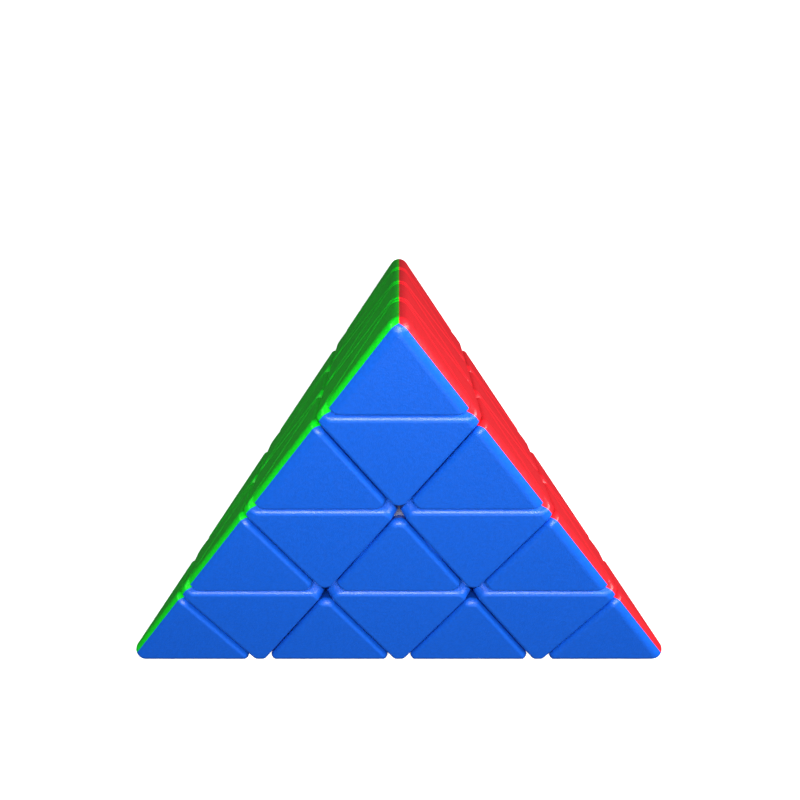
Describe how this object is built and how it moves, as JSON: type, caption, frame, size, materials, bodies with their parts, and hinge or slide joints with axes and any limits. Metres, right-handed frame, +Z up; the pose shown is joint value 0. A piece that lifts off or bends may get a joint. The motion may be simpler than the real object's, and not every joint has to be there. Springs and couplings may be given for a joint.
{
  "type": "pyramid twisty puzzle",
  "caption": "Tetrahedral twisty puzzle with four layers along each axis, coloured plastic caps on a ball core, and turning tips, corners and half.",
  "frame": {"origin": "centre of the yellow base face, which the puzzle rests on", "axes": "+Z up through the top corner, -Y towards the blue face, +X to the right as the blue face is looked at"},
  "size_m": [0.107, 0.0933, 0.0881],
  "materials": {
    "shell_blue": "satin blue ABS, moulded through",
    "shell_green": "satin green ABS, moulded through",
    "shell_red": "satin red ABS, moulded through",
    "shell_yellow": "satin yellow ABS, moulded through",
    "inner_plastic": "grey ABS mechanism plastic",
    "inner_plastic_dark": "dark ABS core",
    "steel": "zinc-plated steel"
  },
  "bodies": {
    "root": {"base_edges_blue": "shell_blue", "base_edges_green": "shell_green", "base_edges_red": "shell_red", "base_edges_yellow": "shell_yellow", "yellow_centre": "shell_yellow", "base_edge_feet": "inner_plastic", "base_centre_foot": "inner_plastic", "base_hubs": "inner_plastic", "core": "inner_plastic_dark", "main_screws": "steel", "springs": "steel", "washers": "steel"},
    "upper_half": {"upper_edges_blue": "shell_blue", "upper_edges_green": "shell_green", "upper_edges_red": "shell_red", "blue_centre": "shell_blue", "green_centre": "shell_green", "red_centre": "shell_red", "upper_edge_feet": "inner_plastic", "upper_centre_feet": "inner_plastic", "top_hub": "inner_plastic"},
    "top_corner": {"top_corner_blue": "shell_blue", "top_corner_green": "shell_green", "top_corner_red": "shell_red", "top_corner_carrier": "inner_plastic"},
    "top_tip": {"top_tip_blue": "shell_blue", "top_tip_green": "shell_green", "top_tip_red": "shell_red", "top_tip_stem": "inner_plastic"},
    "left_corner": {"left_corner_blue": "shell_blue", "left_corner_green": "shell_green", "left_corner_yellow": "shell_yellow", "left_corner_carrier": "inner_plastic"},
    "left_tip": {"left_tip_blue": "shell_blue", "left_tip_green": "shell_green", "left_tip_yellow": "shell_yellow", "left_tip_stem": "inner_plastic"},
    "right_corner": {"right_corner_blue": "shell_blue", "right_corner_red": "shell_red", "right_corner_yellow": "shell_yellow", "right_corner_carrier": "inner_plastic"},
    "right_tip": {"right_tip_blue": "shell_blue", "right_tip_red": "shell_red", "right_tip_yellow": "shell_yellow", "right_tip_stem": "inner_plastic"},
    "back_corner": {"back_corner_green": "shell_green", "back_corner_red": "shell_red", "back_corner_yellow": "shell_yellow", "back_corner_carrier": "inner_plastic"},
    "back_tip": {"back_tip_green": "shell_green", "back_tip_red": "shell_red", "back_tip_yellow": "shell_yellow", "back_tip_stem": "inner_plastic"},
    "left_wing": {"left_wing_blue": "shell_blue", "left_wing_green": "shell_green"},
    "right_wing": {"right_wing_blue": "shell_blue", "right_wing_red": "shell_red"},
    "back_wing": {"back_wing_green": "shell_green", "back_wing_red": "shell_red"}
  },
  "joints": [
    {"name": "upper_half_turn", "type": "hinge", "parent": "root", "child": "upper_half", "pos_m": [0, 0, 0.02307], "axis": [0, 0, 1], "range_deg": [-120, 120]},
    {"name": "top_corner_turn", "type": "hinge", "parent": "upper_half", "child": "top_corner", "pos_m": [0, 0, 0.02307], "axis": [0, 0, 1], "continuous": true},
    {"name": "left_corner_turn", "type": "hinge", "parent": "root", "child": "left_corner", "pos_m": [0, 0, 0.02307], "axis": [-0.8165, -0.4714, -0.3333], "continuous": true},
    {"name": "right_corner_turn", "type": "hinge", "parent": "root", "child": "right_corner", "pos_m": [0, 0, 0.02307], "axis": [0.8165, -0.4714, -0.3333], "continuous": true},
    {"name": "back_corner_turn", "type": "hinge", "parent": "root", "child": "back_corner", "pos_m": [0, 0, 0.02307], "axis": [0, 0.9428, -0.3333], "continuous": true},
    {"name": "top_tip_turn", "type": "hinge", "parent": "top_corner", "child": "top_tip", "pos_m": [0, 0, 0.02307], "axis": [0, 0, 1], "continuous": true},
    {"name": "left_tip_turn", "type": "hinge", "parent": "left_corner", "child": "left_tip", "pos_m": [0, 0, 0.02307], "axis": [-0.8165, -0.4714, -0.3333], "continuous": true},
    {"name": "right_tip_turn", "type": "hinge", "parent": "right_corner", "child": "right_tip", "pos_m": [0, 0, 0.02307], "axis": [0.8165, -0.4714, -0.3333], "continuous": true},
    {"name": "back_tip_turn", "type": "hinge", "parent": "back_corner", "child": "back_tip", "pos_m": [0, 0, 0.02307], "axis": [0, 0.9428, -0.3333], "continuous": true},
    {"name": "left_wing_turn", "type": "hinge", "parent": "upper_half", "child": "left_wing", "pos_m": [0, 0, 0.02307], "axis": [-0.8165, -0.4714, -0.3333], "continuous": true},
    {"name": "right_wing_turn", "type": "hinge", "parent": "upper_half", "child": "right_wing", "pos_m": [0, 0, 0.02307], "axis": [0.8165, -0.4714, -0.3333], "continuous": true},
    {"name": "back_wing_turn", "type": "hinge", "parent": "upper_half", "child": "back_wing", "pos_m": [0, 0, 0.02307], "axis": [0, 0.9428, -0.3333], "continuous": true}
  ],
  "couplings": [
    {"joint": "left_wing_turn", "follows": "left_corner_turn", "ratio": 1},
    {"joint": "right_wing_turn", "follows": "right_corner_turn", "ratio": 1},
    {"joint": "back_wing_turn", "follows": "back_corner_turn", "ratio": 1}
  ]
}
